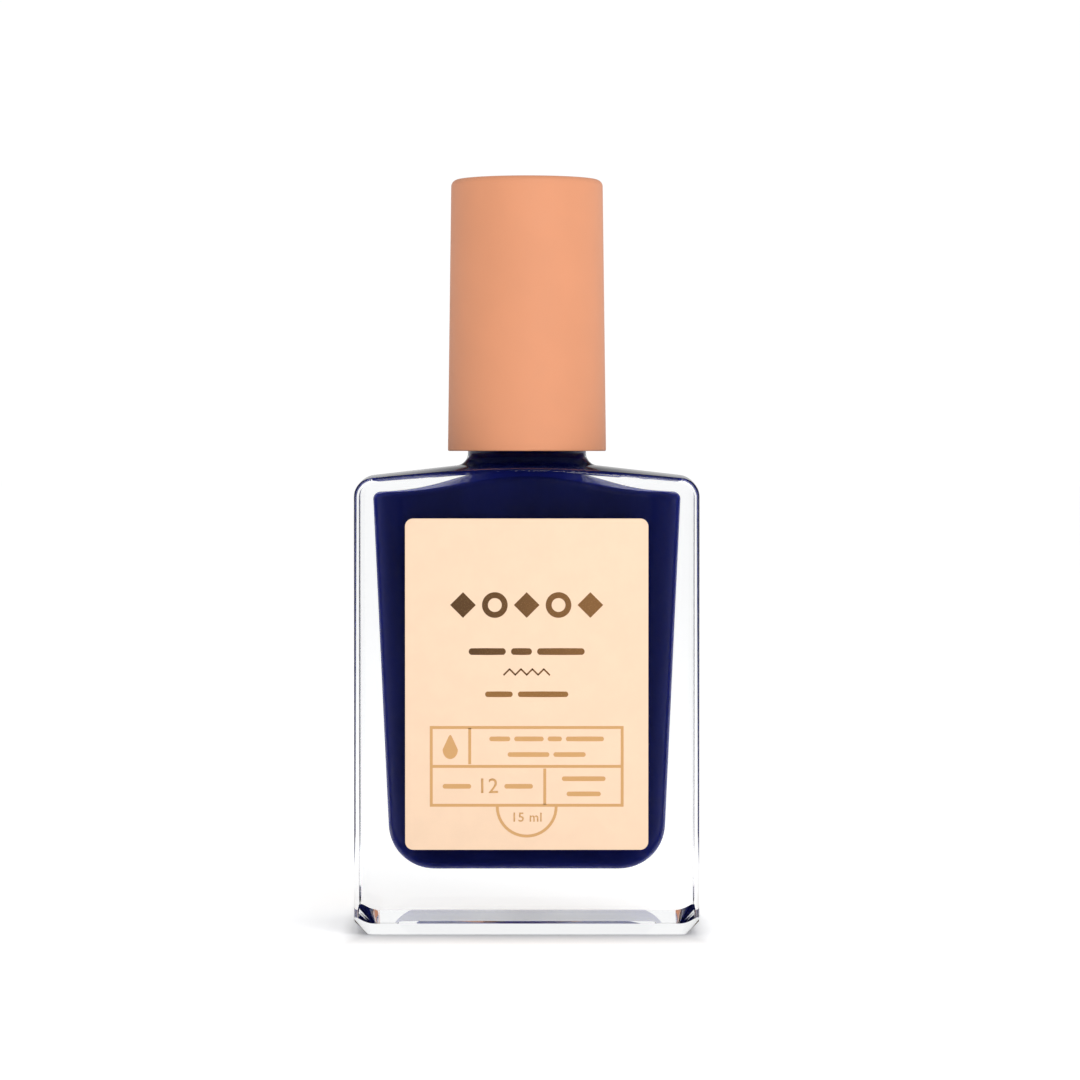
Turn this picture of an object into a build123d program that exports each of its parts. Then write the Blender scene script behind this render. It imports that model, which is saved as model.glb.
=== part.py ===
from build123d import *

import math
import os

# Nail polish bottle: a clear pressed-glass bottle, its screw cap and the brush inside.
# Millimetres, +Z up, origin on the table under the middle of the base. The front faces -Y.

# Bottle body
body_width = 36.4
body_depth = 20.0
body_edge_radius = 0.55  # round the front and the back face
heel_chamfer = 1.3
heel_corner_radius = 0.8
shoulder_end_radius = 2.0  # over the narrow sides
shoulder_height = 49.7  # at the root of the neck
shoulder_slope = 6.6  # degrees, down towards the edges
push_up_depth = 0.4  # hollow under the base
push_up_margin = 2.7
push_up_corner = 1.6

# Hollow inside the glass
hollow_floor = 6.6
hollow_floor_width = 29.0
hollow_floor_depth = 12.4
hollow_floor_corner = 5.2
hollow_bottom_radius = 4.8
hollow_top_width = 33.2
hollow_top_depth = 14.4
hollow_top_corner = 4.4
hollow_knee_radius = 11.8  # where the roof gets steeper, on the way to the bore
hollow_knee_height = 46.95
hollow_outer_slope = 3.2
hollow_inner_slope = 16.0
hollow_knee_reach = 2.8  # the bend at the knee spreads this far each way
hollow_bore_blend = 2.0
hollow_edge_radius = 0.7
roof_reach = 1.0  # the roof's rim lies within this of its lowest and highest points
hollow_lid = 3.0  # the hollow runs this far up into the neck

# Neck, a 13-415 glass finish with 12 threads per inch
neck_height = 11.1
neck_collar_radius = 6.35
neck_collar_height = 3.6
neck_root_blend = 1.3
neck_embed = 2.0  # the neck starts this far down in the block
neck_radius = 5.7
neck_lip_radius = 0.45
bore_radius = 4.15
bore_chamfer = 0.3
thread_pitch = 25.4 / 12
thread_embed = 0.3
thread_start = 6.3  # from the root of the neck to the middle of the ridge
neck_thread_turns = 1.5
neck_thread_crest = 6.45
neck_thread_foot_width = 1.2
neck_thread_crest_width = 0.7

# Outer cap
cap_foot = 51.1
cap_height = 29.2
cap_foot_radius = 8.5
cap_top_radius = 8.13
cap_edge_radius = 0.75
cap_crown = 0.12
cap_lip_radius = 0.15
cap_top_wall = 1.0
cap_inside_radius = 7.1

# Inner cap
inner_cap_radius = 7.6
inner_cap_fit = 0.02
inner_cap_recess = 0.25  # its foot stands this far up inside the outer cap
inner_cap_bore = 6.65
inner_cap_ceiling = 1.2
cap_thread_turns = 1.25
cap_thread_crest = 5.95
cap_thread_foot_width = 1.0
cap_thread_crest_width = 0.5
boss_radius = 3.8
boss_height = 10.2
socket_radius = 2.53
socket_depth = 9.4
rib_count = 6
rib_thickness = 0.9
rib_height = 13.4
rib_reach = 7.0

# Sealing washer on the rim
washer_inner_radius = 3.85
washer_outer_radius = 5.6
washer_thickness = 0.85
seal_gap = 0.03

# Brush
plug_radius = 2.5
plug_height = 9.2
collar_radius = 3.4
collar_thickness = 1.3
collar_taper = 1.2
stem_radius = 1.5
barrel_radius = 1.72
barrel_length = 6.5
barrel_taper = 0.6
barrel_lip = 0.3
tuft_hole_radius = 1.1
tuft_hole_depth = 5.0
tuft_top = 24.0
tuft_tip = 8.7
tuft_radius = 1.62
tuft_flank = (0.88, 4.0)  # share of the widest radius, and how far below the mouth
tuft_belly_rise = 6.0
tuft_shoulder = (0.8, 1.5)  # share of the widest radius, and how far above the tip
anchor_width = 2.8
anchor_thickness = 0.35
anchor_height = 2.2
anchor_rise = 2.6  # from the mouth of the hole to the foot of the anchor

# Polish, mixing balls and labels
polish_level = 51.9
polish_inset = 0.02
pocket_gap = 0.08
pocket_shoulder = 1.1  # where the pocket round the tuft starts to close, above its tip
ball_radius = 2.38
ball_offset = 6.5
label_width = 25.6
label_height = 34.9
label_corner = 0.85
label_bottom = 9.1
label_thickness = 0.12

rim_height = shoulder_height + neck_height
washer_foot = rim_height + seal_gap
ceiling_height = washer_foot + washer_thickness + seal_gap
deck_height = ceiling_height + inner_cap_ceiling
collar_top = ceiling_height - seal_gap
cap_top = cap_foot + cap_height
front_face = body_depth / 2
far_radius = body_width
pick_tolerance = 0.01


def cone_drop(slope, run):
    """How far a cone falls over a run outwards from the axis."""
    return run * math.tan(math.radians(slope))


def hollow_solid(inset):
    """The space inside the glass up to just above the root of the neck, drawn in by an inset."""
    floor = hollow_floor + inset
    bore = bore_radius - inset
    lid = shoulder_height + hollow_lid
    knee = hollow_knee_height - inset
    edge = knee - cone_drop(hollow_outer_slope, far_radius - hollow_knee_radius)
    top = knee + cone_drop(hollow_inner_slope, hollow_knee_radius - bore)
    bend_start = (
        hollow_knee_radius + hollow_knee_reach,
        knee - cone_drop(hollow_outer_slope, hollow_knee_reach),
    )
    bend_end = (
        hollow_knee_radius - hollow_knee_reach,
        knee + cone_drop(hollow_inner_slope, hollow_knee_reach),
    )
    with BuildPart() as hollow:
        with BuildSketch(Plane.XY.offset(floor)):
            RectangleRounded(
                hollow_floor_width - 2 * inset,
                hollow_floor_depth - 2 * inset,
                hollow_floor_corner - inset,
            )
        with BuildSketch(Plane.XY.offset(lid)):
            RectangleRounded(
                hollow_top_width - 2 * inset,
                hollow_top_depth - 2 * inset,
                hollow_top_corner - inset,
            )
        loft()
        fillet(hollow.edges().group_by(Axis.Z)[0], hollow_bottom_radius - inset)
        # Two cones close the top, flat outside and steeper inside, and turn up into the bore
        with BuildSketch(Plane.XZ) as profile:
            with BuildLine():
                Spline(
                    bend_start,
                    bend_end,
                    tangents=[
                        (-1, cone_drop(hollow_outer_slope, 1)),
                        (-1, cone_drop(hollow_inner_slope, 1)),
                    ],
                )
                Polyline(
                    bend_end,
                    (bore, top),
                    (bore, lid),
                    (0, lid),
                    (0, floor),
                    (far_radius, floor),
                    (far_radius, edge),
                    bend_start,
                )
            make_face()
            bore_corner = profile.vertices().sort_by_distance((bore, 0, top))[0]
            fillet(bore_corner, hollow_bore_blend + inset)
        revolve(axis=Axis.Z, mode=Mode.INTERSECT)
        rim = [
            e
            for e in hollow.edges()
            if edge - roof_reach < e.bounding_box().min.Z < top - roof_reach and not on_axis_circle(e)
        ]
        fillet(rim, hollow_edge_radius - inset)
    return hollow.part


def on_axis_circle(edge):
    """Whether an edge is a circle about the part's own axis."""
    if edge.geom_type != GeomType.CIRCLE:
        return False
    centre = edge.arc_center
    level = edge.bounding_box().size.Z < pick_tolerance
    return level and math.hypot(centre.X, centre.Y) < pick_tolerance


def thread_ridge(root, crest, foot_width, crest_width, turns):
    """A helical ridge from root to crest, whose flanks run on a little behind the root."""
    start = shoulder_height + thread_start
    behind = root - math.copysign(thread_embed, crest - root)
    spread = (foot_width - crest_width) / abs(crest - root)
    behind_width = foot_width + spread * thread_embed
    with BuildPart() as ridge:
        with BuildLine() as path:
            Helix(pitch=thread_pitch, height=turns * thread_pitch, radius=root, center=(0, 0, start))
        with BuildSketch(Plane.XZ):
            with BuildLine():
                Polyline(
                    (behind, start - behind_width / 2),
                    (crest, start - crest_width / 2),
                    (crest, start + crest_width / 2),
                    (behind, start + behind_width / 2),
                    close=True,
                )
            make_face()
        sweep(path=path.line, is_frenet=True)
    return ridge.part


hollow = hollow_solid(0)
neck_ridge = thread_ridge(
    neck_radius, neck_thread_crest, neck_thread_foot_width, neck_thread_crest_width, neck_thread_turns
)
# Half a turn round, the same helix runs half a pitch below the neck's
cap_ridge = thread_ridge(
    inner_cap_bore, cap_thread_crest, cap_thread_foot_width, cap_thread_crest_width, cap_thread_turns
).rotate(Axis.Z, 180)

# Heel: a flare that opens upwards from the smaller foot
with BuildPart() as heel_flare:
    with BuildSketch(Plane.XY):
        RectangleRounded(
            body_width - 2 * heel_chamfer, body_depth - 2 * heel_chamfer, heel_corner_radius
        )
    extrude(amount=shoulder_height, taper=-45)

# Glass bottle: a thick-walled block with a sloping shoulder, a round neck and a helical thread
with BuildPart() as glass_bottle:
    with BuildSketch(Plane.XY):
        Rectangle(body_width, body_depth)
    extrude(amount=shoulder_height)
    with BuildSketch(Plane.XZ):
        with BuildLine():
            Polyline(
                (0, 0),
                (far_radius, 0),
                (
                    far_radius,
                    shoulder_height - cone_drop(shoulder_slope, far_radius - neck_collar_radius),
                ),
                (neck_collar_radius, shoulder_height),
                (0, shoulder_height),
                close=True,
            )
        make_face()
    revolve(axis=Axis.Z, mode=Mode.INTERSECT)
    shoulder_ends = [side.edges().sort_by(Axis.Z)[-1] for side in glass_bottle.faces().filter_by(Axis.X)]
    fillet(shoulder_ends, shoulder_end_radius)
    for side in (front_face, -front_face):
        rim = glass_bottle.edges().filter_by_position(Axis.Y, side, side).sort_by(Axis.Z)
        fillet(rim[1:], body_edge_radius)
    add(heel_flare.part, mode=Mode.INTERSECT)
    with BuildSketch(Plane.XY):
        RectangleRounded(
            body_width - 2 * heel_chamfer - 2 * push_up_margin,
            body_depth - 2 * heel_chamfer - 2 * push_up_margin,
            push_up_corner,
        )
    extrude(amount=push_up_depth, taper=45, mode=Mode.SUBTRACT)
    with BuildSketch(Plane.XZ):
        with BuildLine():
            Polyline(
                (0, shoulder_height - neck_embed),
                (neck_collar_radius, shoulder_height - neck_embed),
                (neck_collar_radius, shoulder_height + neck_collar_height),
                (
                    neck_radius,
                    shoulder_height + neck_collar_height + neck_collar_radius - neck_radius,
                ),
                (neck_radius, rim_height),
                (0, rim_height),
                close=True,
            )
        make_face()
    revolve(axis=Axis.Z)
    circles = glass_bottle.edges().filter_by(on_axis_circle)
    root_circle = circles.filter_by(lambda e: abs(e.radius - neck_collar_radius) < pick_tolerance)
    fillet(root_circle.sort_by(Axis.Z)[0], neck_root_blend)
    fillet(glass_bottle.edges().filter_by(on_axis_circle).sort_by(Axis.Z)[-1], neck_lip_radius)
    add(neck_ridge)
    add(hollow, mode=Mode.SUBTRACT)
    with BuildSketch(Plane.XY.offset(shoulder_height + hollow_lid)):
        Circle(bore_radius)
    extrude(until=Until.LAST, mode=Mode.SUBTRACT)
    mouth = glass_bottle.edges().filter_by(on_axis_circle).group_by(Axis.Z)[-1]
    chamfer(mouth.sort_by(SortBy.RADIUS)[0], bore_chamfer)

# Outer cap: a thin shell with a slight taper, a soft top edge and a barely crowned top
with BuildPart() as outer_cap:
    with BuildSketch(Plane.XZ):
        with BuildLine():
            Polyline(
                (0, cap_top),
                (0, cap_foot),
                (cap_foot_radius, cap_foot),
                (cap_top_radius, cap_top - cap_crown),
            )
            ThreePointArc(
                (cap_top_radius, cap_top - cap_crown),
                (cap_top_radius / 2, cap_top - cap_crown / 4),
                (0, cap_top),
            )
        make_face()
    revolve(axis=Axis.Z)
    rims = outer_cap.edges().filter_by(on_axis_circle).sort_by(Axis.Z)
    fillet(rims[-1], cap_edge_radius)
    fillet(rims[0], cap_lip_radius)
    with BuildSketch(Plane.XY.offset(cap_foot)):
        Circle(inner_cap_radius + inner_cap_fit)
    extrude(amount=deck_height + inner_cap_fit - cap_foot, mode=Mode.SUBTRACT)
    with BuildSketch(Plane.XY.offset(deck_height)):
        Circle(cap_inside_radius)
    extrude(amount=cap_top - cap_top_wall - deck_height, mode=Mode.SUBTRACT)

# Inner cap: the threaded skirt, its deck, and a ribbed boss that holds the brush
with BuildPart() as inner_cap:
    with BuildSketch(Plane.XY.offset(cap_foot + inner_cap_recess)):
        Circle(inner_cap_radius)
    extrude(amount=deck_height - cap_foot - inner_cap_recess)
    with BuildSketch(Plane.XY.offset(cap_foot + inner_cap_recess)):
        Circle(inner_cap_bore)
    extrude(amount=ceiling_height - cap_foot - inner_cap_recess, mode=Mode.SUBTRACT)
    chamfer(inner_cap.edges().group_by(Axis.Z)[0].sort_by(SortBy.RADIUS)[0], bore_chamfer)
    with BuildSketch(Plane.XY.offset(deck_height)):
        Circle(boss_radius)
    extrude(amount=boss_height)
    with BuildSketch(Plane.XY.offset(deck_height)):
        with PolarLocations(0, rib_count):
            Rectangle(rib_reach, rib_thickness, align=(Align.MIN, Align.CENTER))
    extrude(amount=rib_height)
    with BuildSketch(Plane.XY.offset(ceiling_height)):
        Circle(socket_radius)
    extrude(amount=socket_depth, mode=Mode.SUBTRACT)
    add(cap_ridge)

# Sealing washer: lies on the rim, round the brush's collar
with BuildPart() as sealing_washer:
    with BuildSketch(Plane.XY.offset(washer_foot)):
        Circle(washer_outer_radius)
        Circle(washer_inner_radius, mode=Mode.SUBTRACT)
    extrude(amount=washer_thickness)

# Brush anchor: the flat metal strip that pins the folded bristles in the end of the stem
with BuildPart() as brush_anchor:
    with BuildSketch(Plane.XY.offset(tuft_top + anchor_rise)):
        Rectangle(anchor_width, anchor_thickness)
    extrude(amount=anchor_height)

# Brush stem: plug, collar, slim shaft and a thicker barrel with a blind hole for the tuft
with BuildPart() as brush_stem:
    with BuildSketch(Plane.XZ):
        with BuildLine():
            Polyline(
                (0, collar_top + plug_height),
                (plug_radius, collar_top + plug_height),
                (plug_radius, collar_top),
                (collar_radius, collar_top),
                (collar_radius, collar_top - collar_thickness),
                (stem_radius, collar_top - collar_thickness - collar_taper),
                (stem_radius, tuft_top + barrel_length),
                (barrel_radius, tuft_top + barrel_length - barrel_taper),
                (barrel_radius, tuft_top + barrel_lip),
                (barrel_radius - barrel_lip, tuft_top),
                (tuft_hole_radius, tuft_top),
                (tuft_hole_radius, tuft_top + tuft_hole_depth),
                (0, tuft_top + tuft_hole_depth),
                close=True,
            )
        make_face()
    revolve(axis=Axis.Z)
    chamfer(brush_stem.edges().group_by(Axis.Z)[-1], bore_chamfer)
    add(brush_anchor.part, mode=Mode.SUBTRACT)

# Bristles: one tuft, folded round the anchor, that swells a little and ends in a soft point
with BuildPart() as bristles:
    root_radius = tuft_hole_radius - polish_inset
    root_top = tuft_top + tuft_hole_depth - polish_inset
    flank = (tuft_flank[0] * tuft_radius, tuft_top - tuft_flank[1])
    belly = (tuft_radius, tuft_tip + tuft_belly_rise)
    tip_edge = (tuft_shoulder[0] * tuft_radius, tuft_tip + tuft_shoulder[1])
    with BuildSketch(Plane.XZ):
        with BuildLine():
            Polyline((0, tuft_tip), (0, root_top), (root_radius, root_top), (root_radius, tuft_top))
            Spline(
                (root_radius, tuft_top),
                flank,
                belly,
                tip_edge,
                (0, tuft_tip),
                tangents=[(0.1, -1), (-1, 0)],
            )
        make_face()
    revolve(axis=Axis.Z)
    add(brush_anchor.part, mode=Mode.SUBTRACT)

# Polish: fills the hollow to just above the root of the neck, round the brush and the balls
filling = hollow_solid(polish_inset)
with BuildPart() as polish:
    add(filling)
    split(bisect_by=Plane.XY.offset(polish_level), keep=Keep.BOTTOM)
    with BuildSketch(Plane.XZ):
        with BuildLine():
            Polyline(
                (0, polish_level + pocket_gap),
                (stem_radius + pocket_gap, polish_level + pocket_gap),
                (stem_radius + pocket_gap, tuft_top + barrel_length + pocket_gap),
                (barrel_radius + pocket_gap, tuft_top + barrel_length - barrel_taper + pocket_gap),
                (barrel_radius + pocket_gap, tuft_tip + pocket_shoulder),
                (tuft_radius / 2, tuft_tip - pocket_gap),
                (0, tuft_tip - pocket_gap),
                close=True,
            )
        make_face()
    revolve(axis=Axis.Z, mode=Mode.SUBTRACT)
    with Locations(
        (-ball_offset, 0, hollow_floor + ball_radius + pocket_gap),
        (ball_offset, 0, hollow_floor + ball_radius + pocket_gap),
    ):
        Sphere(ball_radius + pocket_gap / 2, mode=Mode.SUBTRACT)

# Mixing balls: two steel balls at rest on the floor of the hollow
with BuildPart(Plane((-ball_offset, 0, hollow_floor + ball_radius + pocket_gap))) as mixing_ball_left:
    Sphere(ball_radius)
with BuildPart(Plane((ball_offset, 0, hollow_floor + ball_radius + pocket_gap))) as mixing_ball_right:
    Sphere(ball_radius)

# Labels: thin rounded sheets on the flat front and back of the glass
with BuildPart() as front_label:
    with BuildSketch(Plane.XZ.offset(front_face)):
        with Locations((0, label_bottom + label_height / 2)):
            RectangleRounded(label_width, label_height, label_corner)
    extrude(amount=label_thickness)
with BuildPart() as back_label:
    with BuildSketch(Plane.XZ.offset(-front_face)):
        with Locations((0, label_bottom + label_height / 2)):
            RectangleRounded(label_width, label_height, label_corner)
    extrude(amount=-label_thickness)

pieces = {
    "glass_bottle": glass_bottle,
    "polish": polish,
    "front_label": front_label,
    "back_label": back_label,
    "outer_cap": outer_cap,
    "inner_cap": inner_cap,
    "sealing_washer": sealing_washer,
    "brush_stem": brush_stem,
    "brush_anchor": brush_anchor,
    "bristles": bristles,
    "mixing_ball_left": mixing_ball_left,
    "mixing_ball_right": mixing_ball_right,
}
os.makedirs("parts", exist_ok=True)
for name, piece in pieces.items():
    piece.part.label = name
    export_step(piece.part, f"parts/{name}.step")
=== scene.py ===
"""Nail polish bottle: finishes, printed labels, wet polish, a bristle tuft and a small white studio."""

import math
import random

import bmesh
import bpy
from bpy.props import (
    FloatProperty,
    FloatVectorProperty,
    IntProperty,
    PointerProperty,
)
from mathutils import Matrix, Vector


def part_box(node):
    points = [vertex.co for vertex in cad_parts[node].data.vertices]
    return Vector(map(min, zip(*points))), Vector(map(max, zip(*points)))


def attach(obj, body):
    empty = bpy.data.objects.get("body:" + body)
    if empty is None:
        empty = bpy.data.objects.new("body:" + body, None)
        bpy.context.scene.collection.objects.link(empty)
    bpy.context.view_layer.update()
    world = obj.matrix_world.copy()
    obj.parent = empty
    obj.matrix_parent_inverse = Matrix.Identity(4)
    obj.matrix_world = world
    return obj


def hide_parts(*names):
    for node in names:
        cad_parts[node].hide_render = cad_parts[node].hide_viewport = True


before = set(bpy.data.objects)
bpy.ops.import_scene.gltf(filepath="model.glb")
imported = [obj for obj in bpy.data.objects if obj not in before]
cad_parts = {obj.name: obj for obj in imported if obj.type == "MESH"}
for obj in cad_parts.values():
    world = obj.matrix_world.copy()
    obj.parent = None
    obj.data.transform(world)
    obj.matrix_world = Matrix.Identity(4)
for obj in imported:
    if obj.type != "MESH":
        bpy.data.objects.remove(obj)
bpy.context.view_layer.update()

bl_info = {
    "name": "Nail Polish Bottle",
    "version": (1, 0, 0),
    "blender": (4, 5, 0),
    "location": "View3D > Sidebar > Nail Polish",
    "description": "Builds the finishes, labels, polish, brush tuft and studio of a nail polish bottle",
    "category": "Object",
}

MM = 0.001
GLASS_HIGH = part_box("glass_bottle")[1]
POLISH_LOW, POLISH_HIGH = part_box("polish")
LABEL_LOW, LABEL_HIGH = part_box("front_label")
BACK_LABEL_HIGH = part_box("back_label")[1]
CAP_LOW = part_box("outer_cap")[0]
STEM_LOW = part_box("brush_stem")[0]
TUFT_LOW, TUFT_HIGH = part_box("bristles")

# The label's paper lies this many ink heights inside its box, and the middle of the print this many above it.
PAPER_INSET = 1.5
PRINT_STAND = 0.4
LABEL_CORNER = 0.85 * MM
LABEL_EDGE = 0.035 * MM

# Where the ink changes colour, as shares of the label's height from its foot.
PANEL_INK = (0.385, 0.40)
HEADING_INK = (0.49, 0.53)

# The table top glows a little beyond the bottle's foot, so only a short contact shadow is left.
TABLE_GLOW = 0.42
SHADOW_REACH = 14 * MM
FOOT_INSET = 1.5 * MM

KEY_POWER = 1.6
KEY_SIZE = (0.35, 0.5)
KEY_PLACE = (0.2, -0.5, 0.42)
KEY_AIM = (0, 0, 0.04)
CAMERA_SIDE = 1.4 * MM
CAMERA_DIP = 1.233


# ---------------------------------------------------------------- settings


class GlassSettings(bpy.types.PropertyGroup):
    """Finish of the glass."""

    tint: FloatVectorProperty(
        name="Tint", description="Colour of the glass", subtype="COLOR", size=3,
        min=0, max=1, default=(0.972, 0.98, 0.985),
    )
    ior: FloatProperty(
        name="Refractive index", description="How strongly the glass bends light",
        min=1.3, max=1.8, default=1.52,
    )
    wave_depth: FloatProperty(
        name="Wave depth", description="Depth of the slow waves that moulding leaves in the surface",
        subtype="DISTANCE", unit="LENGTH", default=0.02 * MM,
    )


class PolishSettings(bpy.types.PropertyGroup):
    """Colour of the polish and how it wets the glass."""

    colour: FloatVectorProperty(
        name="Colour", description="Colour of the polish", subtype="COLOR", size=3,
        min=0, max=1, default=(0.0035, 0.0055, 0.052),
    )
    wetting: FloatProperty(
        name="Wetting", description="How far the polish reaches into the inner wall of the glass",
        subtype="DISTANCE", unit="LENGTH", default=0.06 * MM,
    )


class LabelSettings(bpy.types.PropertyGroup):
    """Paper and ink of the labels."""

    paper: FloatVectorProperty(
        name="Paper", description="Colour of the label paper", subtype="COLOR", size=3,
        min=0, max=1, default=(0.905, 0.655, 0.462),
    )
    dark_ink: FloatVectorProperty(
        name="Dark ink", description="Ink of the heading", subtype="COLOR", size=3,
        min=0, max=1, default=(0.11, 0.048, 0.011),
    )
    warm_ink: FloatVectorProperty(
        name="Warm ink", description="Ink of the second line", subtype="COLOR", size=3,
        min=0, max=1, default=(0.30, 0.135, 0.03),
    )
    light_ink: FloatVectorProperty(
        name="Light ink", description="Ink of the ruled panel", subtype="COLOR", size=3,
        min=0, max=1, default=(0.66, 0.365, 0.14),
    )
    ink_height: FloatProperty(
        name="Ink height", description="How far the ink stands above the paper",
        subtype="DISTANCE", unit="LENGTH", default=0.012 * MM,
    )


class CapSettings(bpy.types.PropertyGroup):
    """Finish of the cap."""

    colour: FloatVectorProperty(
        name="Colour", description="Colour of the soft-touch coating", subtype="COLOR", size=3,
        min=0, max=1, default=(0.73, 0.295, 0.148),
    )
    roughness: FloatProperty(
        name="Roughness", description="Roughness of the soft-touch coating",
        min=0, max=1, default=0.62,
    )


class BrushSettings(bpy.types.PropertyGroup):
    """The tuft of filaments."""

    filaments: IntProperty(
        name="Filaments", description="How many bristles the tuft has", min=40, max=600, default=260,
    )
    thickness: FloatProperty(
        name="Thickness", description="Diameter of one bristle",
        subtype="DISTANCE", unit="LENGTH", default=0.13 * MM,
    )
    seed: IntProperty(name="Seed", description="Seed of the bristles' small differences", default=7)


class StudioSettings(bpy.types.PropertyGroup):
    """Camera and light."""

    distance: FloatProperty(
        name="Camera distance", description="From the lens to the middle of the bottle",
        subtype="DISTANCE", unit="LENGTH", default=0.445,
    )
    lens: FloatProperty(
        name="Lens", description="Focal length in millimetres", unit="CAMERA", default=137.9,
    )
    background: FloatProperty(
        name="Background", description="Brightness of the white surroundings", default=1.02,
    )


SETTINGS = {
    "nail_glass": GlassSettings,
    "nail_polish": PolishSettings,
    "nail_label": LabelSettings,
    "nail_cap": CapSettings,
    "nail_brush": BrushSettings,
    "nail_studio": StudioSettings,
}


# ---------------------------------------------------------------- materials


class Finish:
    """A node material with a Principled shader, and short ways to add what drives it."""

    def __init__(self, name, roughness, metallic=0.0):
        self.material = bpy.data.materials.new(name)
        self.material.use_nodes = True
        self.tree = self.material.node_tree
        self.shader = self.tree.nodes["Principled BSDF"]
        self.put("Roughness", roughness)
        self.put("Metallic", metallic)
        self.place = self.node("ShaderNodeTexCoord").outputs["Object"]

    def node(self, kind, **settings):
        made = self.tree.nodes.new(kind)
        for key, value in settings.items():
            setattr(made, key, value)
        return made

    def put(self, socket, value):
        self.shader.inputs[socket].default_value = value

    def link(self, source, target):
        self.tree.links.new(source, target)

    def drive(self, socket, source):
        self.link(source, self.shader.inputs[socket])

    def noise(self, size, detail=3.0, stretch=(1, 1, 1)):
        """Noise whose features are about as large as size, in metres."""
        mapping = self.node("ShaderNodeMapping")
        mapping.inputs["Scale"].default_value = stretch
        self.link(self.place, mapping.inputs["Vector"])
        noise = self.node("ShaderNodeTexNoise")
        noise.inputs["Scale"].default_value = 1 / size
        noise.inputs["Detail"].default_value = detail
        noise.inputs["Roughness"].default_value = 0.55
        self.link(mapping.outputs["Vector"], noise.inputs["Vector"])
        return noise.outputs["Fac"]

    def span(self, source, low, high, out_low=0.0, out_high=1.0):
        """Maps a value from one range to another, smoothly and with no overshoot."""
        ranged = self.node("ShaderNodeMapRange", interpolation_type="SMOOTHSTEP")
        ranged.inputs["From Min"].default_value = low
        ranged.inputs["From Max"].default_value = high
        ranged.inputs["To Min"].default_value = out_low
        ranged.inputs["To Max"].default_value = out_high
        self.link(source, ranged.inputs["Value"])
        return ranged.outputs["Result"]

    def beyond(self, source, reach, pace=1.0):
        """How far a value's size goes beyond a reach, times a pace."""
        size = self.node("ShaderNodeMath", operation="ABSOLUTE")
        self.link(source, size.inputs[0])
        rest = self.node("ShaderNodeMath", operation="MULTIPLY_ADD")
        self.link(size.outputs[0], rest.inputs[0])
        rest.inputs[1].default_value = pace
        rest.inputs[2].default_value = -reach * pace
        return rest.outputs[0]

    def axis(self, letter):
        """One of the object's own coordinates."""
        split = self.node("ShaderNodeSeparateXYZ")
        self.link(self.place, split.inputs["Vector"])
        return split.outputs[letter]

    def mix(self, factor, first, second):
        """Mixes two colours, each a socket or a plain colour."""
        mixed = self.node("ShaderNodeMix", data_type="RGBA")
        self.link(factor, mixed.inputs["Factor"])
        colour_a, colour_b, colour_out = mixed.inputs[6], mixed.inputs[7], mixed.outputs[2]
        for socket, colour in ((colour_a, first), (colour_b, second)):
            if isinstance(colour, bpy.types.NodeSocket):
                self.link(colour, socket)
            else:
                socket.default_value = (*colour, 1.0)
        return colour_out

    def bump(self, height, depth):
        """Bump from a height, with what is under it kept."""
        bump = self.node("ShaderNodeBump")
        bump.inputs["Strength"].default_value = 1.0
        bump.inputs["Distance"].default_value = depth
        self.link(height, bump.inputs["Height"])
        normal = self.shader.inputs["Normal"]
        if normal.is_linked:
            self.link(normal.links[0].from_socket, bump.inputs["Normal"])
        self.drive("Normal", bump.outputs["Normal"])


def shade(colour, factor):
    """A colour made darker or lighter, still between 0 and 1."""
    return tuple(min(1.0, part * factor) for part in colour)


def glass_finish(settings):
    """Clear moulded glass with slow shallow waves."""
    finish = Finish("clear_moulded_glass", roughness=0.0)
    finish.put("Base Color", (*settings.tint, 1))
    finish.put("IOR", settings.ior)
    finish.put("Transmission Weight", 1.0)
    finish.bump(finish.noise(9 * MM, detail=1.0, stretch=(1, 1, 0.45)), settings.wave_depth)
    return finish.material


def polish_finish(settings):
    """Dense lacquer: a little lighter where pigment has settled, with faint slow streaks."""
    finish = Finish("navy_lacquer", roughness=0.22)
    deep = tuple(settings.colour)
    streaks = finish.span(finish.noise(7 * MM, detail=4.0, stretch=(1, 1, 0.3)), 0.35, 0.7)
    finish.drive("Base Color", finish.mix(streaks, shade(deep, 0.8), shade(deep, 1.25)))
    finish.put("IOR", 1.47)
    finish.put("Specular IOR Level", 0.05)
    finish.put("Sheen Weight", 0.8)
    finish.put("Sheen Roughness", 0.5)
    finish.put("Sheen Tint", (0.03, 0.05, 0.6, 1))
    return finish.material


def paper_finish(settings):
    """Coated paper: fine fibres, a faint mottle and a satin sheen."""
    finish = Finish("label_paper_satin", roughness=0.55)
    paper = tuple(settings.paper)
    mottle = finish.span(finish.noise(2.2 * MM, detail=5.0), 0.3, 0.7)
    finish.drive("Base Color", finish.mix(mottle, shade(paper, 0.985), shade(paper, 1.015)))
    finish.drive("Roughness", finish.span(finish.noise(0.5 * MM), 0.3, 0.7, 0.5, 0.62))
    finish.bump(finish.noise(0.12 * MM, detail=4.0), 0.004 * MM)
    return finish.material


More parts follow.
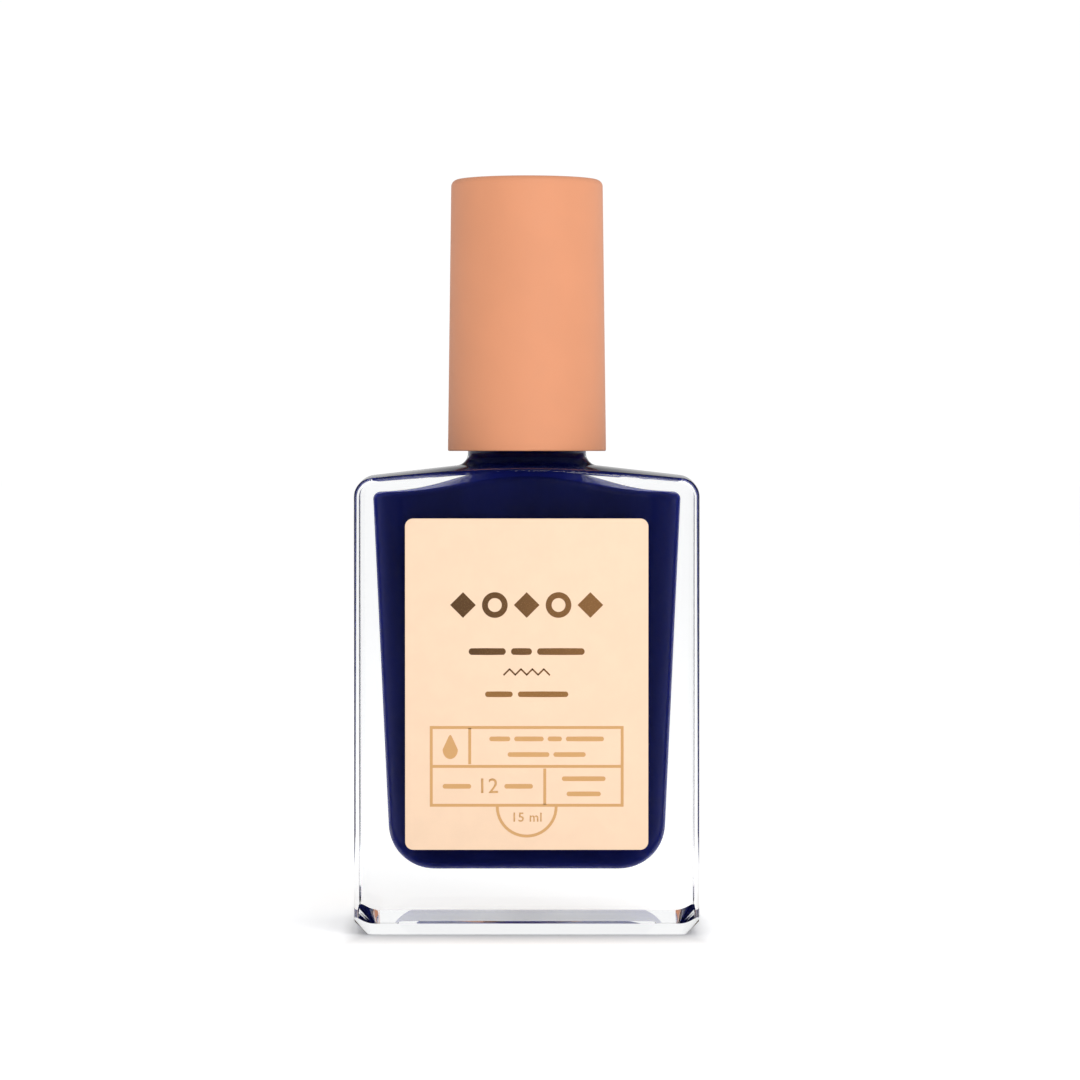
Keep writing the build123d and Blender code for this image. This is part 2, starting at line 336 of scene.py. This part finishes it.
def ink_finish(settings):
    """Warm ink: dark and slightly graded in the heading, light in the ruled panel."""
    finish = Finish("label_ink", roughness=0.42)
    foot, height = LABEL_LOW.z, LABEL_HIGH.z - LABEL_LOW.z
    across = finish.span(finish.axis("X"), -8 * MM, 8 * MM)
    heading = finish.mix(across, tuple(settings.dark_ink), shade(settings.dark_ink, 2.2))
    upper = finish.span(finish.axis("Z"), *(foot + share * height for share in HEADING_INK))
    lower = finish.span(finish.axis("Z"), *(foot + share * height for share in PANEL_INK))
    lines = finish.mix(upper, tuple(settings.warm_ink), heading)
    colour = finish.mix(lower, tuple(settings.light_ink), lines)
    grain = finish.span(finish.noise(0.1 * MM, detail=2.0), 0.35, 0.75)
    speckled = finish.mix(grain, colour, tuple(settings.light_ink))
    finish.drive("Base Color", finish.mix(finish.span(grain, 0.5, 1.0, 0.0, 0.3), colour, speckled))
    finish.bump(finish.noise(0.08 * MM, detail=2.0), 0.003 * MM)
    return finish.material


def cap_finish(settings):
    """Soft-touch coating: powdery, with a very fine tooth and hardly any sheen."""
    finish = Finish("soft_touch_peach", roughness=settings.roughness)
    colour = tuple(settings.colour)
    cloud = finish.span(finish.noise(6 * MM, detail=4.0), 0.3, 0.7)
    finish.drive("Base Color", finish.mix(cloud, shade(colour, 0.985), shade(colour, 1.015)))
    finish.drive(
        "Roughness",
        finish.span(
            finish.noise(1.5 * MM), 0.3, 0.7, settings.roughness - 0.04, settings.roughness + 0.04
        ),
    )
    finish.put("Sheen Weight", 0.12)
    finish.put("Sheen Roughness", 0.5)
    finish.bump(finish.noise(0.09 * MM, detail=3.0), 0.006 * MM)
    return finish.material


def moulded_finish(name, colour, roughness):
    """Plain moulded plastic with a fine grain."""
    grain = 0.3 * MM
    finish = Finish(name, roughness=roughness)
    cloud = finish.span(finish.noise(3 * MM, detail=3.0), 0.3, 0.7)
    finish.drive("Base Color", finish.mix(cloud, shade(colour, 0.95), shade(colour, 1.05)))
    finish.drive(
        "Roughness", finish.span(finish.noise(grain * 2), 0.3, 0.7, roughness - 0.06, roughness + 0.06)
    )
    finish.bump(finish.noise(grain), 0.004 * MM)
    return finish.material


def foam_finish():
    """Closed-cell foam sheet."""
    finish = Finish("washer_foam_sheet", roughness=0.8)
    cells = finish.node("ShaderNodeTexVoronoi")
    cells.inputs["Scale"].default_value = 1 / (0.22 * MM)
    finish.link(finish.place, cells.inputs["Vector"])
    finish.drive(
        "Base Color", finish.mix(cells.outputs["Distance"], (0.74, 0.74, 0.72), (0.9, 0.9, 0.88))
    )
    finish.bump(cells.outputs["Distance"], 0.03 * MM)
    return finish.material


def coated_stem_finish(polish):
    """Black moulded stem, wet with polish below the filling's surface."""
    finish = Finish("stem_wet_below", roughness=0.28)
    line = finish.noise(1.2 * MM, detail=2.0)
    ragged = finish.node("ShaderNodeMath", operation="MULTIPLY_ADD")
    finish.link(line, ragged.inputs[0])
    ragged.inputs[1].default_value = 1.6 * MM
    finish.link(finish.axis("Z"), ragged.inputs[2])
    wet = finish.span(ragged.outputs[0], POLISH_HIGH.z - 2 * MM, POLISH_HIGH.z - 2.2 * MM)
    finish.drive("Base Color", finish.mix(wet, (0.016, 0.016, 0.018), tuple(polish.colour)))
    finish.drive("Roughness", finish.span(wet, 0, 1, 0.34, 0.1))
    finish.bump(wet, 0.05 * MM)
    return finish.material


def wet_bristle_finish(polish):
    """Nylon filaments soaked in polish."""
    finish = Finish("bristle_wet", roughness=0.16)
    streak = finish.span(finish.noise(0.6 * MM, detail=2.0, stretch=(1, 1, 0.1)), 0.3, 0.7)
    colour = tuple(polish.colour)
    finish.drive("Base Color", finish.mix(streak, shade(colour, 0.8), shade(colour, 1.5)))
    finish.bump(streak, 0.01 * MM)
    return finish.material


def steel_finish(name, colour, roughness):
    """Polished metal with fine scuffs."""
    finish = Finish(name, roughness=roughness, metallic=1.0)
    scuffs = finish.span(finish.noise(0.3 * MM, detail=4.0, stretch=(1, 1, 5)), 0.3, 0.7)
    finish.drive("Base Color", finish.mix(scuffs, shade(colour, 0.93), colour))
    finish.drive("Roughness", finish.span(scuffs, 0, 1, roughness, roughness + 0.12))
    finish.bump(scuffs, 0.002 * MM)
    return finish.material


def dress(node, material):
    """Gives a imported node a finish."""
    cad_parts[node].material_slots[0].material = material


# ---------------------------------------------------------------- mesh helpers


def new_piece(name, bm, body, material):
    """Turns a bmesh into a piece that rides on a body."""
    mesh = bpy.data.meshes.new(name)
    bm.to_mesh(mesh)
    bm.free()
    piece = bpy.data.objects.new(name, mesh)
    bpy.context.scene.collection.objects.link(piece)
    mesh.materials.append(material)
    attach(piece, body)
    return piece


def smooth(piece, angle):
    """Shades a piece smooth, except across sharp edges."""
    piece.data.polygons.foreach_set("use_smooth", [True] * len(piece.data.polygons))
    piece.data.set_sharp_from_angle(angle=math.radians(angle))


def rounded_sheet(bm, width, height, corner, thickness, edge):
    """A rounded rectangle in the XZ plane, its front at y = 0 and its back at +thickness."""
    bmesh.ops.create_cube(bm, size=1.0, matrix=Matrix.Diagonal((width, thickness, height, 1)))
    corners = [
        e for e in bm.edges
        if abs(e.verts[0].co.x - e.verts[1].co.x) < 1e-9 and abs(e.verts[0].co.z - e.verts[1].co.z) < 1e-9
    ]
    bmesh.ops.bevel(
        bm, geom=corners, offset=corner, offset_type="OFFSET", affect="EDGES",
        segments=10, profile=0.5, material=-1,
    )
    rim = [
        e for e in bm.edges
        if all(abs(v.co.y + thickness / 2) < 1e-9 for v in e.verts)
        and len(e.link_faces) == 2 and e.calc_face_angle() > 0.5
    ]
    bmesh.ops.bevel(
        bm, geom=rim, offset=edge, offset_type="OFFSET", affect="EDGES",
        segments=2, profile=0.5, material=-1,
    )
    bmesh.ops.translate(bm, verts=bm.verts, vec=(0, thickness / 2, 0))


class InkSheet:
    """Thin raised print, laid out in millimetres on the XZ plane and seen along +Y."""

    def __init__(self, height):
        self.bm = bmesh.new()
        self.height = height

    def bar(self, centre, width, height, turn=0.0):
        """A ruled bar."""
        place = (
            Matrix.Translation((centre[0], 0, centre[1]))
            @ Matrix.Rotation(turn, 4, "Y")
            @ Matrix.Diagonal((width, self.height, height, 1))
        )
        bmesh.ops.create_cube(self.bm, size=1.0, matrix=place)

    def frame(self, low, high, rule):
        """A ruled box, from its lower left to its upper right corner."""
        middle = ((low[0] + high[0]) / 2, (low[1] + high[1]) / 2)
        width, height = high[0] - low[0], high[1] - low[1]
        self.bar((middle[0], high[1] - rule / 2), width, rule)
        self.bar((middle[0], low[1] + rule / 2), width, rule)
        self.bar((low[0] + rule / 2, middle[1]), rule, height - 2 * rule)
        self.bar((high[0] - rule / 2, middle[1]), rule, height - 2 * rule)

    def drop(self, centre, width, height, taper):
        """A filled oval whose top is drawn to a point."""
        made = bmesh.ops.create_circle(self.bm, cap_ends=True, segments=32, radius=1.0)
        for vert in made["verts"]:
            rise = max(0.0, vert.co.y)
            vert.co.x *= width / 2 * (1 - taper * rise)
            vert.co.y *= height / 2 * (1 + taper * rise)
        self.lay(made["verts"], centre)

    def ring(self, centre, radius, rule, start=0.0, sweep=2 * math.pi, steps=48):
        """A band round a centre, whole or in part."""
        place = (
            Matrix.Translation((centre[0], 0, centre[1]))
            @ Matrix.Rotation(-start, 4, "Y")
            @ Matrix.Translation((radius - rule / 2, 0, 0))
            @ Matrix.Diagonal((rule, self.height, 1, 1))
        )
        corners = bmesh.ops.create_grid(self.bm, x_segments=1, y_segments=1, size=0.5, matrix=place)["verts"]
        face = corners[0].link_faces[0]
        outline = [*face.edges, *face.verts]
        whole = abs(sweep - 2 * math.pi) < 1e-6
        if whole:
            bmesh.ops.delete(self.bm, geom=[face], context="FACES_ONLY")
        bmesh.ops.spin(
            self.bm, geom=outline, cent=(centre[0], 0, centre[1]),
            axis=(0, -1, 0), angle=sweep, steps=steps, use_merge=whole,
        )
        open_edges = [e for e in self.bm.edges if e.is_boundary]
        bmesh.ops.holes_fill(self.bm, edges=open_edges, sides=4)

    def line(self, centre, height, lengths, gap=0.55):
        """A line of print set as plain round-ended bars, centred."""
        x = centre[0] - (sum(lengths) + gap * (len(lengths) - 1)) / 2
        for length in lengths:
            self.pill((x + length / 2, centre[1]), length, height)
            x += length + gap

    def pill(self, centre, length, height):
        """A bar with round ends."""
        made = bmesh.ops.create_circle(self.bm, cap_ends=True, segments=20, radius=height / 2)
        for vert in made["verts"]:
            vert.co.x += math.copysign((length - height) / 2, vert.co.x) if abs(vert.co.x) > 1e-6 else 0
        self.lay(made["verts"], centre)

    def lay(self, verts, centre):
        """Turns a flat outline upright, moves it to its place and gives it the ink's height."""
        flat = Matrix.Translation((centre[0], 0, centre[1])) @ Matrix.Rotation(math.pi / 2, 4, "X")
        bmesh.ops.transform(self.bm, matrix=flat, verts=verts)
        self.thicken(verts)

    def figures(self, text, centre, height, weight, spacing):
        """Plain figures of a given height, centred."""
        curve = bpy.data.curves.new("figures", "FONT")
        curve.body = text
        curve.align_x, curve.align_y = "CENTER", "CENTER"
        curve.size = height / 0.7
        curve.offset = weight
        curve.space_character = spacing
        curve.resolution_u = 3
        holder = bpy.data.objects.new("figures", curve)
        mesh = bpy.data.meshes.new_from_object(holder)
        known = set(self.bm.verts)
        self.bm.from_mesh(mesh)
        verts = [v for v in self.bm.verts if v not in known]
        bmesh.ops.remove_doubles(self.bm, verts=verts, dist=1e-5)
        self.lay([v for v in self.bm.verts if v not in known], centre)
        bpy.data.objects.remove(holder)
        bpy.data.meshes.remove(mesh)
        bpy.data.curves.remove(curve)

    def thicken(self, verts):
        """Gives flat faces at y = 0 the height of the ink."""
        faces = list({f for v in verts for f in v.link_faces})
        bmesh.ops.translate(self.bm, verts=verts, vec=(0, -self.height / 2, 0))
        raised = bmesh.ops.extrude_face_region(self.bm, geom=faces, use_keep_orig=True)
        moved = [g for g in raised["geom"] if isinstance(g, bmesh.types.BMVert)]
        bmesh.ops.translate(self.bm, verts=moved, vec=(0, self.height, 0))

    def finish(self, middle, facing):
        """Scales to metres and lays the ink at a place on the object. Facing is -1 front, 1 back."""
        bmesh.ops.recalc_face_normals(self.bm, faces=self.bm.faces)
        turn = Matrix.Rotation(math.pi if facing > 0 else 0.0, 4, "Z")
        bmesh.ops.transform(
            self.bm, matrix=Matrix.Translation(middle) @ turn @ Matrix.Scale(MM, 4), verts=self.bm.verts
        )
        return self.bm


# ---------------------------------------------------------------- operators


class NAIL_OT_glass(bpy.types.Operator):
    """Gives the bottle its clear moulded glass."""

    bl_idname = "nail.glass"
    bl_label = "Glass Bottle"

    def execute(self, context):
        dress("glass_bottle", glass_finish(context.scene.nail_glass))
        return {"FINISHED"}


class NAIL_OT_polish(bpy.types.Operator):
    """Fills the bottle with polish that wets the inner wall."""

    bl_idname = "nail.polish"
    bl_label = "Polish"

    def execute(self, context):
        settings = context.scene.nail_polish
        bm = bmesh.new()
        bm.from_mesh(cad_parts["polish"].data)
        bmesh.ops.remove_doubles(bm, verts=bm.verts, dist=0.0005 * MM)
        self.drop_pockets(bm)
        bmesh.ops.holes_fill(bm, edges=[e for e in bm.edges if e.is_boundary], sides=0)
        bmesh.ops.recalc_face_normals(bm, faces=bm.faces)
        bm.normal_update()
        for vert in bm.verts:
            vert.co += vert.normal * settings.wetting
        piece = new_piece("polish_filling", bm, "bottle", polish_finish(settings))
        smooth(piece, 50)
        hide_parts("polish")
        return {"FINISHED"}

    def drop_pockets(self, bm):
        """Takes out the clearances round the brush and the balls."""
        stem_reach = 2.2 * MM
        balls = []
        for node in ("mixing_ball_left", "mixing_ball_right"):
            low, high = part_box(node)
            balls.append(((low + high) / 2, (high.z - low.z) / 2 + 0.3 * MM))
        gone = []
        for face in bm.faces:
            middle = face.calc_center_median()
            near_stem = math.hypot(middle.x, middle.y) < stem_reach and (
                TUFT_LOW.z - 0.3 * MM < middle.z < POLISH_HIGH.z - 0.01 * MM
            )
            near_ball = any((middle - centre).length < reach for centre, reach in balls)
            on_floor = middle.z < POLISH_LOW.z + 0.01 * MM
            if near_stem or (near_ball and not on_floor):
                gone.append(face)
        bmesh.ops.delete(bm, geom=gone, context="FACES")


class NAIL_OT_labels(bpy.types.Operator):
    """Makes the paper labels and their print."""

    bl_idname = "nail.labels"
    bl_label = "Labels"

    def execute(self, context):
        settings = context.scene.nail_label
        paper, ink = paper_finish(settings), ink_finish(settings)
        front_y = LABEL_LOW.y + PAPER_INSET * settings.ink_height
        back_y = BACK_LABEL_HIGH.y - PAPER_INSET * settings.ink_height
        self.sheet("front_label_paper", "front_label", front_y, -1, paper)
        self.sheet("back_label_paper", "back_label", back_y, 1, paper)
        self.front_print(settings, front_y, ink)
        self.back_print(settings, back_y, ink)
        return {"FINISHED"}

    def sheet(self, name, node, face_y, facing, paper):
        """One sheet of paper, from the glass out to face_y."""
        low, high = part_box(node)
        thickness = abs(face_y - (high.y if facing < 0 else low.y))
        bm = bmesh.new()
        rounded_sheet(bm, high.x - low.x, high.z - low.z, LABEL_CORNER, thickness, LABEL_EDGE)
        middle = Vector(((low.x + high.x) / 2, face_y, (low.z + high.z) / 2))
        turn = Matrix.Rotation(math.pi if facing > 0 else 0.0, 4, "Z")
        bmesh.ops.transform(bm, matrix=Matrix.Translation(middle) @ turn, verts=bm.verts)
        piece = new_piece(name, bm, "bottle", paper)
        smooth(piece, 30)
        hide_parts(node)

    def front_print(self, settings, face_y, ink):
        """Heading ornament, two plain lines, a zigzag, a ruled panel with a drop, and the contents."""
        print_sheet = InkSheet(settings.ink_height / MM)
        step, ornament_z, size = 3.35, 8.35, 2.7
        for place in range(-2, 3):
            centre = (place * step, ornament_z)
            if place % 2:
                print_sheet.ring(centre, size / 2, 0.62)
            else:
                print_sheet.bar(centre, size / math.sqrt(2), size / math.sqrt(2), turn=math.pi / 4)
        print_sheet.line((0, 3.45), 0.72, (3.9, 2.2, 5.0))
        teeth, tooth, stroke = 8, 0.6, 0.17
        for tooth_number in range(teeth):
            x = (tooth_number - (teeth - 1) / 2) * tooth
            turn = math.pi / 4 if tooth_number % 2 else -math.pi / 4
            print_sheet.bar((x, 1.3), tooth * math.sqrt(2) + stroke * 0.6, stroke, turn=turn)
        print_sheet.line((0, -1.05), 0.6, (2.9, 5.3))
        rule, left, right, top, middle, bottom = 0.3, -10.2, 10.2, -4.4, -8.65, -12.9
        print_sheet.frame((left, bottom), (right, top), rule)
        print_sheet.bar((0, middle), right - left - 2 * rule, rule)
        print_sheet.bar((-6.0, (top + middle) / 2), rule, top - middle - 1.5 * rule)
        print_sheet.bar((1.9, (middle + bottom) / 2), rule, middle - bottom - 1.5 * rule)
        print_sheet.drop((-8.05, (top + middle) / 2 - 0.35), 1.6, 2.0, taper=0.55)
        small, close = 0.5, 0.42
        print_sheet.line((2.1, -5.75), small, (2.2, 3.1, 1.5, 4.0), gap=close)
        print_sheet.line((2.1, -7.4), small, (4.4, 3.4), gap=close)
        print_sheet.line((-7.35, -10.75), small, (3.0,))
        print_sheet.figures("12", (-4.1, -10.78), 1.55, weight=0.01, spacing=1.05)
        print_sheet.line((-0.85, -10.75), small, (3.0,))
        print_sheet.line((6.0, -9.95), small, (4.6,))
        print_sheet.line((6.0, -11.55), small, (3.6,))
        print_sheet.ring((0, bottom), 3.25, rule, start=-math.pi, sweep=math.pi, steps=24)
        print_sheet.figures("15 ml", (0, bottom - 1.15), 0.95, weight=0.012, spacing=1.08)
        bm = print_sheet.finish(self.print_middle(face_y - PRINT_STAND * settings.ink_height), -1)
        new_piece("front_label_print", bm, "bottle", ink)

    def back_print(self, settings, face_y, ink):
        """Lines of small print and a row of plain bars."""
        draw = random.Random(3)
        print_sheet = InkSheet(settings.ink_height / MM)
        left, right, short_end, shortest_word = -10.2, 10.2, 3.0, 0.8
        for place in range(-1, 2):
            print_sheet.bar((place * 2.6, 12.6), 1.1, 1.1, turn=math.pi / 4)
        for line in range(9):
            x, z = left, 9.2 - line * 1.25
            end = right if line % 4 != 3 else short_end
            while x < end - shortest_word:
                word = min(draw.uniform(shortest_word, 2.6), end - x)
                print_sheet.bar((x + word / 2, z), word, 0.42)
                x += word + 0.5
        half_row = 7.0
        x = -half_row
        while x < half_row:
            width = draw.choice((0.18, 0.18, 0.36, 0.54))
            print_sheet.bar((x + width / 2, -9.5), width, 6.0)
            x += width + draw.choice((0.2, 0.34))
        bm = print_sheet.finish(self.print_middle(face_y + PRINT_STAND * settings.ink_height), 1)
        new_piece("back_label_print", bm, "bottle", ink)

    def print_middle(self, y):
        """The middle of the print, at the middle of the label's height."""
        return Vector((0, y, (LABEL_LOW.z + LABEL_HIGH.z) / 2))


class NAIL_OT_cap(bpy.types.Operator):
    """Finishes the outer cap, the inner cap and the washer."""

    bl_idname = "nail.cap"
    bl_label = "Cap"

    def execute(self, context):
        dress("outer_cap", cap_finish(context.scene.nail_cap))
        dress("inner_cap", moulded_finish("inner_cap_white", (0.84, 0.84, 0.82), 0.42))
        dress("sealing_washer", foam_finish())
        return {"FINISHED"}


class NAIL_OT_brush(bpy.types.Operator):
    """Finishes the stem and anchor, and makes the tuft out of filaments."""

    bl_idname = "nail.brush"
    bl_label = "Brush"

    def execute(self, context):
        polish = context.scene.nail_polish
        dress("brush_stem", coated_stem_finish(polish))
        dress("brush_anchor", steel_finish("anchor_brass", (0.8, 0.62, 0.34), 0.28))
        settings = context.scene.nail_brush
        draw = random.Random(settings.seed)
        mouth = STEM_LOW.z
        bm = bmesh.new()
        for number in range(settings.filaments):
            share = math.sqrt((number + 0.5) / settings.filaments)
            angle = number * math.pi * (3 - math.sqrt(5))
            self.filament(bm, settings, draw, mouth, share, angle)
        bmesh.ops.recalc_face_normals(bm, faces=bm.faces)
        piece = new_piece("bristle_tuft", bm, "brush", wet_bristle_finish(polish))
        smooth(piece, 60)
        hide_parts("bristles")
        return {"FINISHED"}

    def filament(self, bm, settings, draw, mouth, share, angle):
        """One bristle, from inside the barrel to the rounded end of the tuft."""
        tip = TUFT_LOW.z
        length = mouth - tip
        belly = (TUFT_HIGH.x - TUFT_LOW.x) / 2 - settings.thickness
        root = 1.0 * MM
        angle += draw.uniform(-0.1, 0.1)
        end = tip + 3.2 * MM * share**3 + draw.uniform(0, 0.5) * MM
        widest = mouth - 0.62 * length
        stops = (mouth + 1.5 * MM, mouth, mouth - 0.3 * length, widest, 0.5 * (end + widest), end)
        spread = (1.0, 1.0, 1.45, 1.6, 1.5, 1.22)
        ring = bmesh.ops.create_circle(
            bm, cap_ends=True, segments=5, radius=settings.thickness / 2,
            matrix=Matrix.Translation((0, 0, stops[0])),
        )["verts"]
        face = ring[0].link_faces[0]
        sway = draw.uniform(-0.03, 0.03)
        places = []
        for stop, wide in zip(stops, spread, strict=True):
            reach = min(root * wide, belly) * share
            turn = angle + sway * (mouth - stop) / length * 4
            places.append(Vector((reach * math.cos(turn), reach * math.sin(turn), stop)))
        bmesh.ops.translate(bm, verts=ring, vec=places[0] - Vector((0, 0, stops[0])))
        for before, after in zip(places, places[1:]):
            raised = bmesh.ops.extrude_face_region(bm, geom=[face])["geom"]
            if before is not places[0]:
                bm.faces.remove(face)
            face = next(g for g in raised if isinstance(g, bmesh.types.BMFace))
            bmesh.ops.translate(bm, verts=face.verts, vec=after - before)
        middle = face.calc_center_median()
        bmesh.ops.scale(bm, verts=face.verts, vec=(0.35, 0.35, 1), space=Matrix.Translation(-middle))


class NAIL_OT_balls(bpy.types.Operator):
    """Finishes the steel mixing balls."""

    bl_idname = "nail.balls"
    bl_label = "Mixing Balls"

    def execute(self, context):
        steel = steel_finish("ball_polished_steel", (0.78, 0.78, 0.8), 0.08)
        dress("mixing_ball_left", steel)
        dress("mixing_ball_right", steel)
        return {"FINISHED"}


class NAIL_OT_studio(bpy.types.Operator):
    """Sets the white table and surroundings, the light and the camera."""

    bl_idname = "nail.studio"
    bl_label = "Studio"

    def execute(self, context):
        settings = context.scene.nail_studio
        self.floor()
        self.surroundings(context.scene, settings.background)
        self.lights()
        self.camera(context.scene, settings)
        context.scene.view_settings.view_transform = "Standard"
        return {"FINISHED"}

    def floor(self):
        """A wide white table top with a painted glow that fades out close round the bottle's foot."""
        bm = bmesh.new()
        bmesh.ops.create_circle(bm, cap_ends=True, segments=96, radius=6.0)
        finish = Finish("studio_white", roughness=0.9)
        speck = finish.span(finish.noise(40 * MM, detail=3.0), 0.3, 0.7)
        finish.drive("Base Color", finish.mix(speck, (0.93, 0.93, 0.935), (0.95, 0.95, 0.955)))
        foot = (("X", GLASS_HIGH.x - FOOT_INSET, 4.0), ("Y", GLASS_HIGH.y - FOOT_INSET, 1.0))
        gaps = [finish.beyond(finish.axis(letter), reach, pace) for letter, reach, pace in foot]
        away = finish.node("ShaderNodeMath", operation="MAXIMUM")
        for socket, gap in zip(away.inputs, gaps):
            finish.link(gap, socket)
        # Painted light: the table glows, and the glow fades to nothing near the foot, so only a short contact
        # shadow shows there.
        finish.put("Emission Color", (1, 1, 1, 1))
        finish.drive(
            "Emission Strength", finish.span(away.outputs[0], 0, SHADOW_REACH, 0.0, TABLE_GLOW)
        )
        floor = self.stage_piece("studio_floor", bm, finish.material)
        floor.visible_glossy = False

    def stage_piece(self, name, bm, material):
        """Turns a bmesh into a part of the studio."""
        mesh = bpy.data.meshes.new(name)
        bm.to_mesh(mesh)
        bm.free()
        mesh.materials.append(material)
        piece = bpy.data.objects.new(name, mesh)
        bpy.context.scene.collection.objects.link(piece)
        return piece

    def surroundings(self, scene, brightness):
        """White all round, softer on the left where it falls on matt surfaces, and dark where it is mirrored
        except along the horizon at the back and the sides."""
        world = bpy.data.worlds.new("studio_world")
        world.use_nodes = True
        nodes, links = world.node_tree.nodes, world.node_tree.links
        split = nodes.new("ShaderNodeSeparateXYZ")
        links.new(nodes.new("ShaderNodeTexCoord").outputs["Generated"], split.inputs[0])
        height = nodes.new("ShaderNodeMath")
        height.operation = "ABSOLUTE"
        links.new(split.outputs["Z"], height.inputs[0])

        def ramp(source, low, high, out_low, out_high):
            made = nodes.new("ShaderNodeMapRange")
            for socket, value in zip(
                ("From Min", "From Max", "To Min", "To Max"), (low, high, out_low, out_high), strict=True
            ):
                made.inputs[socket].default_value = value
            links.new(source, made.inputs["Value"])
            return made.outputs["Result"]

        horizon = nodes.new("ShaderNodeMath")
        horizon.operation = "MULTIPLY"
        links.new(ramp(split.outputs["Y"], -0.5, 0.3, 0.02, 0.75), horizon.inputs[0])
        links.new(ramp(height.outputs[0], 0.08, 0.2, 1.0, 0.12), horizon.inputs[1])
        seen = nodes["Background"]
        seen.inputs["Color"].default_value = (1, 1, 1, 1)
        seen.inputs["Strength"].default_value = brightness
        shed, mirrored = nodes.new("ShaderNodeBackground"), nodes.new("ShaderNodeBackground")
        links.new(ramp(split.outputs["X"], -1, 1, 0.66, 0.96), shed.inputs["Strength"])
        links.new(horizon.outputs[0], mirrored.inputs["Strength"])
        path = nodes.new("ShaderNodeLightPath")
        inner, outer = nodes.new("ShaderNodeMixShader"), nodes.new("ShaderNodeMixShader")
        for mix, switch, first, second in (
            (inner, "Is Reflection Ray", seen, mirrored),
            (outer, "Is Diffuse Ray", inner, shed),
        ):
            links.new(path.outputs[switch], mix.inputs[0])
            links.new(first.outputs[0], mix.inputs[1])
            links.new(second.outputs[0], mix.inputs[2])
        links.new(outer.outputs[0], nodes["World Output"].inputs["Surface"])
        scene.world = world

    def lights(self):
        """A soft key from the upper right front."""
        key = bpy.data.lights.new("key", "AREA")
        key.energy = KEY_POWER
        key.shape = "RECTANGLE"
        key.size, key.size_y = KEY_SIZE
        lamp = bpy.data.objects.new("key", key)
        lamp.location = KEY_PLACE
        lamp.rotation_euler = (Vector(KEY_AIM) - lamp.location).to_track_quat("-Z", "Y").to_euler()
        bpy.context.scene.collection.objects.link(lamp)

    def camera(self, scene, settings):
        """A long lens level with the foot of the cap, dipped a little."""
        lens = bpy.data.cameras.new("camera")
        lens.sensor_width = 36
        lens.lens = settings.lens
        lens.clip_start, lens.clip_end = 0.01, 50
        camera = bpy.data.objects.new("camera", lens)
        camera.location = (CAMERA_SIDE, -settings.distance, CAP_LOW.z)
        camera.rotation_euler = (math.radians(90 - CAMERA_DIP), 0, 0)
        scene.collection.objects.link(camera)
        scene.camera = camera


STEPS = (
    NAIL_OT_glass,
    NAIL_OT_polish,
    NAIL_OT_labels,
    NAIL_OT_cap,
    NAIL_OT_brush,
    NAIL_OT_balls,
    NAIL_OT_studio,
)


class NAIL_PT_panel(bpy.types.Panel):
    """Lists the steps that build the bottle."""

    bl_idname = "NAIL_PT_panel"
    bl_label = "Nail Polish Bottle"
    bl_space_type = "VIEW_3D"
    bl_region_type = "UI"
    bl_category = "Nail Polish"

    def draw(self, context):
        for step in STEPS:
            self.layout.operator(step.bl_idname)
        for name in SETTINGS:
            box = self.layout.box()
            group = getattr(context.scene, name)
            for key in group.__annotations__:
                box.prop(group, key)


def register():
    for name, group in SETTINGS.items():
        bpy.utils.register_class(group)
        setattr(bpy.types.Scene, name, PointerProperty(type=group))
    for kind in (*STEPS, NAIL_PT_panel):
        bpy.utils.register_class(kind)


def unregister():
    for kind in reversed((*STEPS, NAIL_PT_panel)):
        bpy.utils.unregister_class(kind)
    for name, group in reversed(SETTINGS.items()):
        delattr(bpy.types.Scene, name)
        bpy.utils.unregister_class(group)


def main():
    register()
    bpy.ops.nail.glass()
    bpy.ops.nail.polish()
    bpy.ops.nail.labels()
    bpy.ops.nail.cap()
    bpy.ops.nail.brush()
    bpy.ops.nail.balls()
    bpy.ops.nail.studio()


if __name__ == "__main__":
    main()
